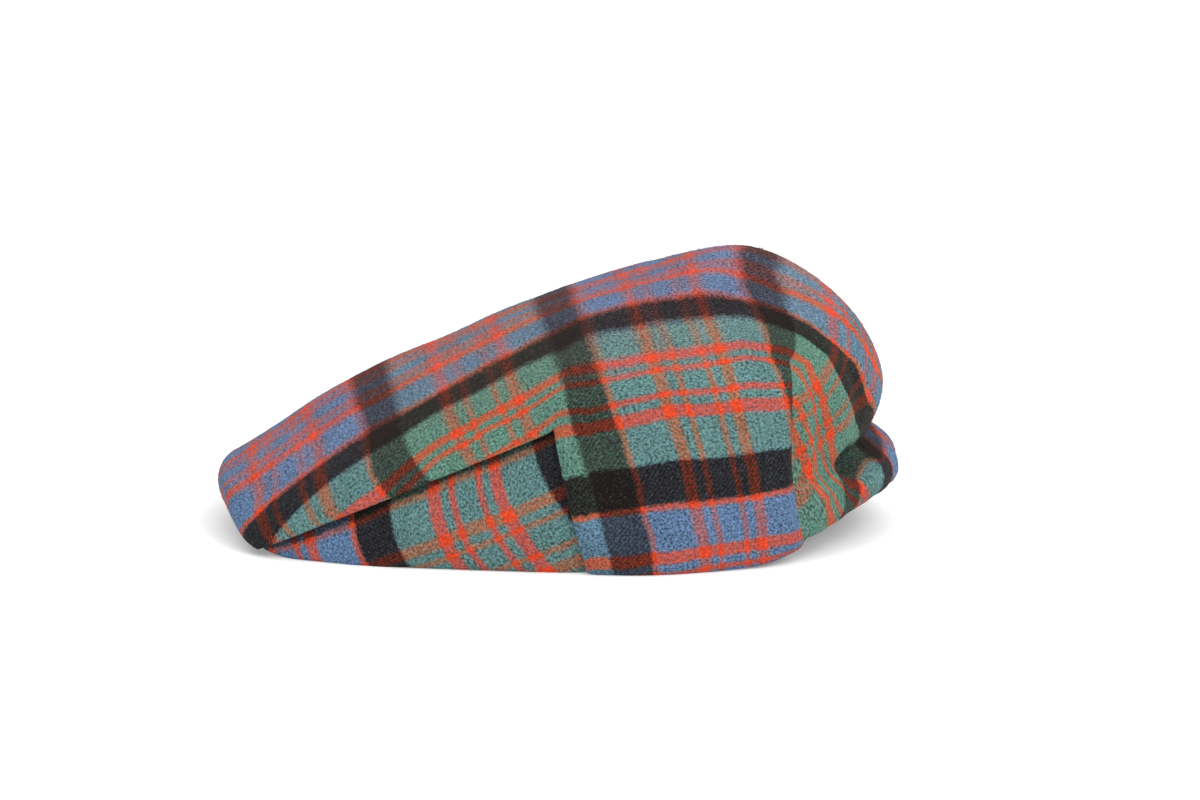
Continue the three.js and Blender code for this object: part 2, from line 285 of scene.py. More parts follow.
SETT = 2.56                     # sett numbers to one millimetre
HALF_SETT = 208.0 / SETT
LONG_LINES = {
    -15: [(5.3, 0.67), (4.6, 0.611), (5.6, 0.528), (5.6, 0.438), (4.8, 0.348), (1.4, 0.259)],
    15: [(160.4, 0.329)],
    34: [(42.6, 0.093), (147.1, 0.268), (151.8, 0.352), (12.4, 0.667), (12.5, 0.608), (14.5, 0.528), (16.2, 0.439), (20.6, 0.356),
         (24.8, 0.273), (28.6, 0.184), (158.6, 0.401), (163.6, 0.463), (167.9, 0.526), (167.8, 0.628)],
    83.5: [(18.9, 0.892), (18.9, 0.839), (19.6, 0.778), (20.3, 0.729), (109.5, 0.238), (72.3, 0.246), (135.1, 0.326), (143.7, 0.391), (21.1, 0.682), (21.6, 0.627), (23.5, 0.556), (28, 0.49),
           (33.6, 0.419), (42.1, 0.353), (52.9, 0.292), (148, 0.442), (151.2, 0.504), (155.8, 0.573), (157.7, 0.599), (156.8, 0.627), (156.4, 0.666), (156.8, 0.71),
           (168.4, 0.858), (169.9, 0.879), (170.3, 0.905), (169.6, 0.935)],
    127.5: [(22.9, 0.917), (23.3, 0.893), (23.7, 0.848), (24, 0.806), (104.3, 0.33), (77.2, 0.337), (130, 0.366), (138.6, 0.433), (24.9, 0.715), (26.2, 0.663), (29.7, 0.606), (33.8, 0.537),
            (41.5, 0.482), (49.7, 0.416), (62.7, 0.382), (145.8, 0.528), (146.7, 0.565), (146.7, 0.597), (146.4, 0.629), (148.9, 0.688),
            (154.9, 0.77), (163, 0.858), (161.8, 0.891), (162.7, 0.908), (163, 0.926), (161.8, 0.946), (160.8, 0.973)],
    174: [(30.8, 0.796), (32.7, 0.774), (33.9, 0.745), (141, 0.535), (141.2, 0.571), (140.7, 0.612), (140.8, 0.662), (142, 0.712), (142.8, 0.754), (143.9, 0.791), (147, 0.85), (149, 0.902)],
    193: [(100.4, 0.481), (82.5, 0.503), (123.3, 0.478), (132.5, 0.512), (38.8, 0.723), (43.1, 0.639), (50.7, 0.584), (61.4, 0.548), (71.7, 0.513),
          (137.6, 0.581), (138.9, 0.607), (139.8, 0.632), (139.6, 0.691), (141.1, 0.772), (142.4, 0.812), (144.3, 0.848)],
    223: [(134.1, 0.641), (135, 0.676), (135.6, 0.714)],
    242: [(70.9, 0.642), (75.8, 0.631), (80.9, 0.626), (98.9, 0.606), (84.2, 0.621), (119.4, 0.608), (128.8, 0.623), (134.3, 0.739), (135.9, 0.79), (137.7, 0.836), (140.6, 0.881), (143.1, 0.924)],
    288.5: [(73, 0.744), (76, 0.739), (81.4, 0.737), (89.3, 0.733), (97.1, 0.72)],
    332.5: [(75.8, 0.848), (79, 0.846), (83.9, 0.841), (89.3, 0.836), (98.6, 0.83), (86.6, 0.844), (120, 0.826)],
    382: [(79.5, 0.962), (82.9, 0.965), (91.7, 0.959), (98.7, 0.959), (87.7, 0.967), (121.6, 0.944), (132, 0.958)],
    401: [(122.3, 0.986), (132.6, 0.993)],
}
CROSS_LINES = {
    -83.5: [(71.1, 0.341), (87, 0.64), (91.7, 0.76), (95.9, 0.918), (53.5, 0.199)],
    -15: [(103, 0.369), (106.9, 0.649), (109.8, 0.761), (113.7, 0.922)],
    34: [(120.1, 0.394), (118.8, 0.661), (121.4, 0.768), (124.6, 0.934)],
    83.5: [(167.7, 0.226), (144.8, 0.285), (138.1, 0.335), (134.4, 0.402), (134.1, 0.436), (130.7, 0.545), (130.6, 0.681), (132.3, 0.788)],
    127.5: [(161.5, 0.331), (147.7, 0.393), (145, 0.439)],
    174: [(145, 0.576), (142.5, 0.598), (141, 0.612)],
    193: [(145.3, 0.605), (142.8, 0.632), (141.6, 0.648)],
    223: [(147.6, 0.66), (145.5, 0.674), (144.1, 0.685), (143.1, 0.7)],
    242: [(148.6, 0.693), (146.2, 0.71), (144.8, 0.727), (142.5, 0.932)],
    288.5: [(163, 0.858), (157.4, 0.845), (146.7, 0.809), (146.9, 0.9), (148.2, 0.949)],
    332.5: [(160.8, 0.879), (156.4, 0.894), (152.7, 0.91)],
    -174: [(35.5, 0.353), (22.4, 0.294)],
    -193: [(33, 0.377), (20.7, 0.322)],
    -223: [(29.4, 0.427), (17.7, 0.374), (41.5, 0.527)],
    -242: [(27.6, 0.457), (15.9, 0.411), (38.2, 0.553)],
    -288.5: [(23.6, 0.533)],
    -332.5: [(21.4, 0.595), (27.4, 0.659), (30.1, 0.69), (32, 0.716)],
    -382: [(19.3, 0.671), (27.1, 0.777), (28.6, 0.822)],
    -401: [(24.8, 0.789), (26.7, 0.843)],
    -431: [(16.9, 0.76), (23.7, 0.882), (24.4, 0.899)],
}
HOLD = 18.0                     # how firmly the cloth is held to the lines


class Lay:
    """The crown's cloth laid flat: ring columns by rows, with a slit down each dart."""

    def __init__(self, cols, rows):
        self.cols, self.nrow = ring(cols), rows
        n, R = len(self.cols), rows + 1
        f = np.linspace(0, 1, R)
        S = f[None] * edge_s(self.cols)[:, None]
        a = self.cols[:, None] + 0 * S
        P = surf(place(a, S), S)
        jd = int(np.argmin(np.abs(cols - DART_COLUMN)))
        ids = np.zeros((n, R), int)
        ids[:, 1:] = np.arange(1, n * (R - 1) + 1).reshape(n, R - 1)
        k, ids2 = n * (R - 1) + 1, ids.copy()
        for j in (jd, n - jd):
            slit = np.where(S[j] > DART_TOP_S)[0]
            ids2[j, slit] = np.arange(k, k + len(slit))
            k += len(slit)
        self.ids, self.ids2, self.n = ids, ids2, k
        right = ids[np.r_[1:n, 0]]
        a4 = [ids2[:, :-1].ravel(), ids2[:, 1:].ravel(), right[:, 1:].ravel(), right[:, :-1].ravel()]
        tri = np.concatenate([np.stack([a4[0], a4[1], a4[2]], 1), np.stack([a4[0], a4[2], a4[3]], 1)])
        self.tri = tri[(tri[:, 0] != tri[:, 1]) & (tri[:, 1] != tri[:, 2]) & (tri[:, 0] != tri[:, 2])]
        self.X, self.uv = np.zeros((k, 3)), np.zeros((k, 2))
        length = np.concatenate([np.zeros((n, 1)), np.cumsum(np.linalg.norm(np.diff(P, axis=1), axis=2), axis=1)], 1)
        an = np.radians(self.cols)[:, None]
        for I in (ids, ids2):
            self.X[I] = P
            self.uv[I] = np.stack([length * np.sin(an), -length * np.cos(an)], -1)

    def cell(self, a, f):
        """Nodes and weights at ring column a (degrees) and row share f."""
        ends = np.r_[self.cols, 360.0]
        a = np.mod(a, 360.0)
        j = np.clip(np.searchsorted(ends, a, side="right") - 1, 0, len(self.cols) - 1)
        x = (a - ends[j]) / (ends[j + 1] - ends[j])
        y = np.clip(f, 0, 0.99999) * self.nrow
        i = y.astype(int)
        y, k = y - i, (j + 1) % len(self.cols)
        nodes = np.stack([self.ids2[j, i], self.ids[k, i], self.ids2[j, i + 1], self.ids[k, i + 1]], -1)
        return nodes, np.stack([(1 - x) * (1 - y), x * (1 - y), (1 - x) * y, x * y], -1)

    def at(self, az, s):
        az, s = np.asarray(az, float), np.asarray(s, float)
        a = az.copy()
        for _ in range(12):
            f = np.minimum(s / edge_s(a), 1.0)
            a = a + az - place(a, f * edge_s(a))
        return self.cell(a, f)

    def flatten(self, held, iters=45):
        """As-rigid-as-possible flattening, pulled to the held values: (azimuth, s, axis, value)."""
        X, T = self.X, self.tri
        p0 = X[T[:, 0]]
        e1, e2 = X[T[:, 1]] - p0, X[T[:, 2]] - p0
        l1 = np.linalg.norm(e1, axis=1)
        Q = np.zeros((len(T), 3, 2))
        Q[:, 1, 0], Q[:, 2, 0] = l1, (e1 * e2).sum(1) / l1
        Q[:, 2, 1] = np.linalg.norm(np.cross(e1, e2), axis=1) / l1
        u = self.uv[T]
        area = (u[:, 1, 0] - u[:, 0, 0]) * (u[:, 2, 1] - u[:, 0, 1]) - (u[:, 2, 0] - u[:, 0, 0]) * (u[:, 1, 1] - u[:, 0, 1])
        Q[:, :, 1] *= np.sign(np.median(area))
        cot = np.zeros((len(T), 3))
        for k in range(3):
            a, b = Q[:, (k + 1) % 3] - Q[:, k], Q[:, (k + 2) % 3] - Q[:, k]
            cot[:, k] = (a * b).sum(1) / np.maximum(1e-9, np.abs(a[:, 0] * b[:, 1] - a[:, 1] * b[:, 0]))
        cot = np.clip(cot, 0.02, 20)
        M = np.zeros((self.n, self.n))
        for k in range(3):
            i, j, w = T[:, (k + 1) % 3], T[:, (k + 2) % 3], cot[:, k]
            for p, q, v in ((i, i, w), (j, j, w), (i, j, -w), (j, i, -w)):
                np.add.at(M, (p, q), v)
        held = np.array(held, float)
        nodes, weights = self.at(held[:, 0], held[:, 1])
        mats, rhs = [M, M.copy()], np.zeros((self.n, 2))
        for nd, wt, c, value in zip(nodes, weights, held[:, 2].astype(int), held[:, 3]):
            mats[c][np.ix_(nd, nd)] += HOLD * np.outer(wt, wt)
            rhs[nd, c] += HOLD * wt * value
        inverse, uv = [np.linalg.inv(m) for m in mats], self.uv.copy()
        for _ in range(iters):
            u, G = uv[T], np.zeros((len(T), 2, 2))
            for k in range(3):
                i, j = (k + 1) % 3, (k + 2) % 3
                G += cot[:, k, None, None] * (u[:, i] - u[:, j])[:, :, None] * (Q[:, i] - Q[:, j])[:, None, :]
            angle = np.arctan2(G[:, 1, 0] - G[:, 0, 1], G[:, 0, 0] + G[:, 1, 1])
            c, s, B = np.cos(angle), np.sin(angle), rhs.copy()
            for k in range(3):
                i, j = (k + 1) % 3, (k + 2) % 3
                d = (Q[:, i] - Q[:, j]) * cot[:, k, None]
                e = np.stack([c * d[:, 0] - s * d[:, 1], s * d[:, 0] + c * d[:, 1]], -1)
                np.add.at(B, T[:, i], e)
                np.add.at(B, T[:, j], -e)
            uv = np.stack([inverse[0] @ B[:, 0], inverse[1] @ B[:, 1]], -1)
        self.uv = uv


lay = Lay(half_columns(5, 13, 4, 10, 12), 22)
lay.flatten([(a, s, 0, v / SETT) for v, row in LONG_LINES.items() for a, s in row]
            + [(a, s, 1, v / SETT) for v, row in CROSS_LINES.items() for a, s in row])


# ---- Mesh building -----------------------------------------------------------------------

def make_mesh(name, verts, quads, uvs):
    """A mesh from points in millimetres, faces of four corners (a repeated corner makes a
    triangle) and the cloth coordinates of each corner."""
    mesh = bpy.data.meshes.new(name)
    quads = np.asarray(quads)
    uvs = np.asarray(uvs)
    keep = np.ones(quads.shape, bool)
    for c in range(4):
        keep[:, c] = quads[:, c] != quads[:, (c + 1) % 4]
    sizes = keep.sum(1)
    good = sizes >= 3
    quads, uvs, keep, sizes = quads[good], uvs[good], keep[good], sizes[good]
    loops = quads[keep]
    mesh.vertices.add(len(verts))
    mesh.vertices.foreach_set("co", (np.asarray(verts) * MM).astype(np.float32).ravel())
    mesh.loops.add(len(loops))
    mesh.loops.foreach_set("vertex_index", loops.astype(np.int32))
    mesh.polygons.add(len(sizes))
    mesh.polygons.foreach_set("loop_start", (np.cumsum(sizes) - sizes).astype(np.int32))
    layer = mesh.uv_layers.new(name="cloth")
    layer.data.foreach_set("uv", uvs[keep].astype(np.float32).ravel())
    mesh.update(calc_edges=True)
    mesh.validate()
    mesh.polygons.foreach_set("use_smooth", np.ones(len(mesh.polygons), bool))
    obj = bpy.data.objects.new(name, mesh)
    bpy.context.scene.collection.objects.link(obj)
    return obj


def grid_normals(P, wrap):
    if wrap:
        across = np.roll(P, -1, 0) - np.roll(P, 1, 0)
    else:
        across = np.gradient(P, axis=0)
    return unit(np.cross(np.gradient(P, axis=1), across))


# ---- Crown -------------------------------------------------------------------------------

rng = np.random.default_rng(SEED)
_waves = [(rng.uniform(0.6, 2.2), rng.uniform(-2.2, 2.2), rng.uniform(0, 6.28)) for _ in range(9)]


def undulation(P):
    """Soft unevenness of worn cloth, about a millimetre, wide as a palm."""
    out = 0
    for kx, ky, ph in _waves:
        out = out + np.sin((P[..., 0] * ky + P[..., 1] * kx + P[..., 2] * (kx - ky)) / 22.0 + ph)
    return out / 9.0


_lattice = np.random.default_rng(SEED + 1).uniform(-1, 1, (48, 48, 48))
NAP = 0.12                             # unevenness of the raised nap


def tufts(P, cell=2.3):
    """Random unevenness as wide as a tuft of nap, from -1 to 1."""
    q = P / cell + 200.0
    i = np.floor(q).astype(int)
    f = q - i
    f = f * f * (3 - 2 * f)
    out = 0
    for c in range(8):
        k = np.array([c & 1, c >> 1 & 1, c >> 2])
        j = (i + k) % 48
        out = out + _lattice[j[..., 0], j[..., 1], j[..., 2]] * np.prod(np.where(k, f, 1 - f), -1)
    return out


# folds of the back: course as (s, azimuth), half width, push, and where along s it starts and ends
BACK_FOLDS = [
    ([(0.52, 141.0), (0.613, 139.2), (0.714, 139.4), (0.833, 142.0), (0.92, 146.0)], 3.4, -1.7, 0.58, 0.88),
    ([(0.56, 138.0), (0.66, 136.4), (0.76, 136.8), (0.86, 139.5)], 2.4, 0.9, 0.60, 0.84),
    ([(0.52, 147.0), (0.599, 144.0), (0.677, 144.6), (0.78, 148.0)], 4.6, 1.5, 0.54, 0.80),
    ([(0.55, 154.0), (0.68, 151.5), (0.80, 153.0)], 4.6, -1.1, 0.60, 0.82),
    ([(0.45, 163.0), (0.60, 158.5), (0.75, 160.0)], 6.0, 1.0, 0.50, 0.76),
]


def crown_piece():
    cols = ring(half_columns(30, 64, 26, 56, 74))
    n, rows = len(cols), 121
    f = np.linspace(0, 1, rows)
    e = edge_s(cols)
    A0 = place(cols, e)
    speed = np.linalg.norm(surf(A0, e) - surf(A0, e - 0.01), axis=-1) / 0.01
    past = half(cols) - DART_COLUMN                      # the back hem starts a little above the side's corner
    e1 = e - ROLL / speed - np.where(past > 0.01, 0.015 * np.exp(-past / 5.0), 0)
    S = f[None] * e1[:, None]
    a = cols[:, None] + 0 * S
    A = place(a, S)
    P, N = surf(A, S), normal(A, S)
    N[:, 0] = (0, 0, 1)
    ah = half(a)
    dist = (e[:, None] - S) * speed[:, None]            # to the edge, along the profile
    z = P[..., 2]
    d = 0.9 * undulation(P) * step(0.05, 0.3, S)
    # fuller beside the edge over the gusset, and a little at the hem
    over = step(TIP_AZ - 6, TIP_AZ + 4, ah) * (1 - step(TOP_AZ - 2, TOP_AZ + 2, ah))
    d += (0.8 * over + 0.2 * (1 - over)) * np.exp(-(((dist - 3.0) / 5.0) ** 2))
    # the hem turns under
    d -= (0.8 + 1.6 * step(TIP_AZ - 2, FOOT_AZ, ah)) * (e > 0.9999)[:, None] * np.clip(1 - dist / 4.5, 0, 1) ** 2
    # rear seam of the gusset: a valley, then the pressed ridge of the turned-in cloth
    b = behind(P)
    near = (1 - step(TOP_Z - 2, TOP_Z + 4, z)) * (ah > TOP_AZ - 1) * (ah < FOOT_AZ + 14)
    d += near * (-0.7 * np.exp(-((b / 1.3) ** 2)) + 0.45 * np.exp(-(((b - 2.9) / 0.9) ** 2)) + 0.25 * np.exp(-(((b - 7) / 3.5) ** 2)))
    # dart: the side panel's edge stands proud and the back panel lies lower
    u = np.radians(ah - DART_COLUMN) * 95
    w = step(DART_TOP_S - 0.06, DART_TOP_S + 0.1, S)
    side = 1.0 * np.exp(-(((u + 5) / 4) ** 2)) - 1.5 * np.exp(-((u / 1.5) ** 2))
    back = side[:, :1] * 0 - 1.29 * np.exp(-((u / 5.0) ** 2))
    d += w * np.where(u <= 0, side, back)
    # soft folds falling from the dart's top, the pit where the crease ends, and the gathered hem
    for line, width, push, top, foot in BACK_FOLDS:
        off = np.radians(half(A) - np.interp(S, *zip(*line))) * 95
        d += push * np.exp(-((off / width) ** 2)) * step(top - 0.07, top + 0.05, S) * (1 - step(foot - 0.07, foot + 0.05, S))
    d -= 5.2 * np.exp(-((np.radians(half(A) - 152.5) * 95 / 6.8) ** 2)) * np.exp(-(((z - 37.0) / 4.6) ** 2))
    d += 1.6 * np.exp(-((np.radians(half(A) - 159.5) * 95 / 7.5) ** 2)) * np.exp(-(((z - 27.5) / 6.0) ** 2))
    gather = step(138, 147, ah) * np.exp(-(((z - 30) / 13) ** 2))
    d += gather * (0.5 * np.sin(np.radians(ah) * 40 + 0.7 * np.sin(z / 6.0)) + 0.15 * np.sin(np.radians(ah) * 71 + 1.3))
    d += NAP * tufts(P) * step(0.04, 0.2, S)
    P = P + N * d[..., None]
    # the edge dips where the gusset starts
    P[..., 2] -= 1.3 * np.exp(-(((ah - TIP_AZ) / 4.0) ** 2)) * np.clip(1 - dist / 5.0, 0, 1) ** 2
    P[:, 0] = P[:, 0].mean(0)
    P[..., 2] = np.maximum(P[..., 2], 0.04)

    G = grid_normals(P, True)
    G[:, 0] = (0, 0, 1)
    # inside face, every third row
    pick = np.unique(np.r_[np.arange(0, rows, 3), rows - 1])
    level = unit(N * np.array([1, 1, 0]))
    edge_n = np.where((e > 0.9999)[:, None], level[:, -1], G[:, -1])
    inner = (P - N * CROWN_WALL - N * (d * 0.5)[..., None])[:, pick]
    inner[:, -1] = P[:, -1] - edge_n * CROWN_WALL
    inner[:, 0] = inner[:, 0].mean(0)
    # folded edge between the two faces
    run = np.roll(P[:, -1], -1, 0) - np.roll(P[:, -1], 1, 0)
    off = unit(np.cross(run, edge_n))
    fall = P[:, -1] - P[:, -4]
    off = off * np.sign((off * fall).sum(-1, keepdims=True))
    for _ in range(6):
        off = unit(off + 0.5 * (np.roll(off, 1, 0) + np.roll(off, -1, 0)))
    mid = (P[:, -1] + inner[:, -1]) / 2
    arm = (P[:, -1] - inner[:, -1]) / 2
    turn = np.linspace(0, np.pi, 9)[1:-1]
    roll = mid[:, None] + arm[:, None] * np.cos(turn)[None, :, None] + off[:, None] * ROLL * np.sin(turn)[None, :, None]
    roll[..., 2] = np.maximum(roll[..., 2], 0.04)
    inner[..., 2] = np.maximum(inner[..., 2], 0.04)

    # cloth coordinates on each side of a column
    share = S / e[:, None]
    def lay_uv(eps):
        nodes, weights = lay.cell(a + eps, share)
        uv = (lay.uv[nodes] * weights[..., None]).sum(-2)
        return uv
    uvs = []
    for eps in (1e-5, -1e-5):
        g = lay_uv(eps)
        rate = (g[:, -1] - g[:, -3]) / np.maximum(1e-6, np.linalg.norm(P[:, -1] - P[:, -3], axis=-1))[:, None]
        lip = g[:, -1][:, None] + rate[:, None] * (ROLL * turn)[None, :, None]
        uvs.append(np.concatenate([g, lip, g[:, pick][:, ::-1]], 1))
    chain = np.concatenate([P, roll, inner[:, ::-1]], 1)
    m = chain.shape[1]
    ids = np.arange(n * m).reshape(n, m)
    ids[:, 0], ids[:, -1] = ids[0, 0], ids[0, -1]
    k = np.r_[1:n, 0]
    quads = np.stack([ids[:, :-1], ids[:, 1:], ids[k][:, 1:], ids[k][:, :-1]], -1).reshape(-1, 4)
    corner = np.stack([uvs[0][:, :-1], uvs[0][:, 1:], uvs[1][k][:, 1:], uvs[1][k][:, :-1]], -2).reshape(-1, 4, 2)
    used = np.unique(quads)
    again = np.zeros(n * m, int)
    again[used] = np.arange(len(used))
    obj = make_mesh("crown_cloth", chain.reshape(-1, 3)[used], again[quads], corner)
    # the roof's nap is brushed longer, which blurs its stripes; the same mask paints a warm sheen onto these upward
    # faces
    nap_haze_and_sheen = step(0.62, 0.9, N[..., 2])
    nap_haze_and_sheen = np.concatenate([nap_haze_and_sheen, np.zeros((n, len(turn))), nap_haze_and_sheen[:, pick][:, ::-1]], 1).reshape(-1)[used]
    obj.data.attributes.new("nap_haze_and_sheen", "FLOAT", "POINT").data.foreach_set("value", nap_haze_and_sheen.astype(np.float32))
    left, right = uvs[0][:, :rows], uvs[1][k][:, :rows]
    close = np.concatenate([P, P[:1]]), np.concatenate([G, G[:1]])
    return obj, close[0], close[1], np.stack([left[:, :-1], left[:, 1:], right[:, :-1], right[:, 1:]], 2)


# ---- Gussets -----------------------------------------------------------------------------
# Cloth coordinates of the gusset as polynomials of (y, z) in units of 100 mm: (power of y, power of z): value

GUSSET_ALONG = {(0, 0): 96.2, (1, 0): 69.23, (0, 1): 54.77, (2, 0): -19.6, (1, 1): -2.46, (0, 2): 3.76, (1, 2): 166.03, (0, 3): -18.13}
GUSSET_DOWN = {(0, 0): -14.21, (1, 0): -34.6, (0, 1): 85.67, (1, 1): -18.8, (0, 2): 1.78, (2, 0): 4.27}


def poly(terms, p):
    return sum(v * (p[..., 1] / 100) ** i * (p[..., 2] / 100) ** j for (i, j), v in terms.items())


def gusset_piece(side, name):
    na, nd = 150, 60
    u = np.linspace(0, 1, na)[:, None]
    v = np.linspace(0, 1, nd)[None]
    top, foot = top_az(LAP), foot_az(LAP)
    az_top, az_foot = TIP_AZ + (top - TIP_AZ) * u, TIP_AZ + (foot - TIP_AZ) * u
    s_top = seam_s(az_top[:, 0], LAP)[:, None]
    az = az_top + (az_foot - az_top) * v
    s = s_top + (1 - s_top) * v
    P = surf(az, s)
    free = np.minimum(-above(P) / math.hypot(1, SLOPE), -behind(P))          # how far out from under the crown
    rise = step(1.0, 11, free) * (1 - 0.25 * step(0.8, 1, v + 0 * u))
    depth = GUSSET_DEPTH + 0.3 - 2.0 * rise + 0.5 * undulation(P * 1.3) + NAP * tufts(P)
    depth = np.maximum(depth, 0.9) + 1.2 * np.clip(1 - (P[..., 2] - P[:, -1:, 2]) / 3.5, 0, 1) ** 2
    outer = inset(az, s, depth)
    innr = inset(az, s, depth + GUSSET_WALL)
    outer[..., 2] = np.maximum(outer[..., 2], 0.03)
    innr[..., 2] = np.maximum(innr[..., 2], 0.03)
    # rounded foot
    mid, arm = (outer[:, -1] + innr[:, -1]) / 2, (outer[:, -1] - innr[:, -1]) / 2
    foot_z = np.maximum(0.9, P[:, -1, 2] + 0.7 - 1.6 * (1 - step(0.02, 0.3, u[:, 0])))
    mid[:, 2] = outer[:, -1, 2] = innr[:, -1, 2] = foot_z
    turn = np.linspace(0, np.pi, 7)[1:-1]
    roll = mid[:, None] + arm[:, None] * np.cos(turn)[None, :, None] + np.array([0, 0, -0.88]) * np.sin(turn)[None, :, None]
    chain = np.concatenate([outer, roll, innr[:, ::-1]], 1)
    uv = np.stack([poly(GUSSET_ALONG, chain), poly(GUSSET_DOWN, chain)], -1)
    chain = chain * np.array([side, 1, 1])
    lie = grid_normals(outer, False)
    lie = lie * np.sign(lie[..., :1]) * np.array([side, 1, 1])
    open_ = (free > 1.0)[:-1, :-1] & (free > 1.0)[1:, 1:]
    flat = uv[:, :nd]
    cells = np.stack([flat[:-1, :-1], flat[:-1, 1:], flat[1:, :-1], flat[1:, 1:]], 2)
    m = chain.shape[1]
    ids = np.arange(na * m).reshape(na, m)
    nxt = np.r_[1:m, 0]
    quads = np.stack([ids[:-1], ids[:-1][:, nxt], ids[1:][:, nxt], ids[1:]], -1)
    corner = np.stack([uv[:-1], uv[:-1][:, nxt], uv[1:][:, nxt], uv[1:]], -2)
    ends, euv = [], []
    for i in (0, na - 1):
        for j in range(nd - 1):
            q = [ids[i, j], ids[i, j + 1], ids[i, m - 2 - j], ids[i, m - 1 - j]]
            w = [uv[i, j], uv[i, j + 1], uv[i, m - 2 - j], uv[i, m - 1 - j]]
            ends.append(q if i else q[::-1])
            euv.append(w if i else w[::-1])
        for j in range(nd - 1, nd + len(turn) - 1):
            q = [ids[i, j], ids[i, j + 1], ids[i, nd + len(turn)], ids[i, nd + len(turn)]]
            w = [uv[i, j], uv[i, j + 1], uv[i, nd + len(turn)], uv[i, nd + len(turn)]]
            ends.append(q if i else q[::-1])
            euv.append(w if i else w[::-1])
    quads = np.concatenate([quads.reshape(-1, 4), np.array(ends)[:, ::-1]])
    corner = np.concatenate([corner.reshape(-1, 4, 2), np.array(euv)[:, ::-1]])
    if side < 0:
        quads, corner = quads[:, ::-1], corner[:, ::-1]
    return make_mesh(name, chain.reshape(-1, 3), quads, corner), chain[:, :nd], lie, cells, open_


# ---- Peak --------------------------------------------------------------------------------

def peak_piece():
    na, nd = 181, 34
    w = np.linspace(-1, 1, na)
    az = w * PEAK_END_AZ
    end = math.acos((HEAD_CENTRE_Y + 4) / HEAD_FRONT)
    psi = w * end
    clear = CROWN_WALL + 0.5 + (0.8 + GUSSET_WALL) * step(TIP_AZ - 5, TIP_AZ - 1, np.abs(az))
    lip = inset(az, np.ones_like(az), clear)
    lip[:, 2] += PEAK_LIFT
    brow = np.stack([HEAD_HALF_WIDTH * np.sin(psi), HEAD_CENTRE_Y - HEAD_FRONT * np.cos(psi), 0 * psi], -1)
    brow[:, 2] = BROW_END_Z + (BROW_Z - BROW_END_Z) * (1 - (brow[:, 0] / (HEAD_HALF_WIDTH * math.sin(end))) ** 2)
    k = np.linspace(0, 1, nd)[None, :, None]
    under = lip[:, None] * (1 - k) + brow[:, None] * k
    sag = np.sin(np.pi * k[..., 0]) * (0.5 * undulation(under * 1.4) + NAP * tufts(under))
    under[..., 2] = np.maximum(under[..., 2] + sag, PEAK_LIFT)
    inward = unit((brow - lip) * np.array([1, 1, 0]))
    over = under + np.array([0, 0, PEAK_THICK])
    # rolled outer edge and brow edge
    r = PEAK_THICK / 2
    under[:, 0] += inward * r
    over[:, 0] += inward * r
    turn = np.linspace(0, np.pi, 9)[1:-1]
    mid = (under[:, 0] + over[:, 0]) / 2
    nose = mid[:, None] - inward[:, None] * (r * np.sin(turn))[None, :, None] + np.array([0, 0, r]) * np.cos(turn)[None, :, None]
    chain = np.concatenate([under[:, ::-1], nose[:, ::-1], over], 1)
    uv = np.stack([chain[..., 0] + 9.0, chain[..., 1] * 1.0 - 20.0], -1)
    m = chain.shape[1]
    ids = np.arange(na * m).reshape(na, m)
    nxt = np.r_[1:m, 0]
    quads = np.stack([ids[:-1], ids[1:], ids[1:][:, nxt], ids[:-1][:, nxt]], -1).reshape(-1, 4)
    corner = np.stack([uv[:-1], uv[1:], uv[1:][:, nxt], uv[:-1][:, nxt]], -2).reshape(-1, 4, 2)
    caps, cuv = [], []
    for i in (0, na - 1):
        for j in range(m // 2):
            a4 = [j, j + 1, m - 2 - j, m - 1 - j]
            if a4[1] >= a4[2]:
                a4[1] = a4[2]
            q, wv = [ids[i, x] for x in a4], [uv[i, x] for x in a4]
            caps.append(q if i else q[::-1])
            cuv.append(wv if i else wv[::-1])
    quads = np.concatenate([quads, np.array(caps)[:, ::-1]])
    corner = np.concatenate([corner, np.array(cuv)[:, ::-1]])
    return make_mesh("peak_cover", chain.reshape(-1, 3), quads[:, ::-1], corner[:, ::-1])


# ---- Raised fibres -----------------------------------------------------------------------

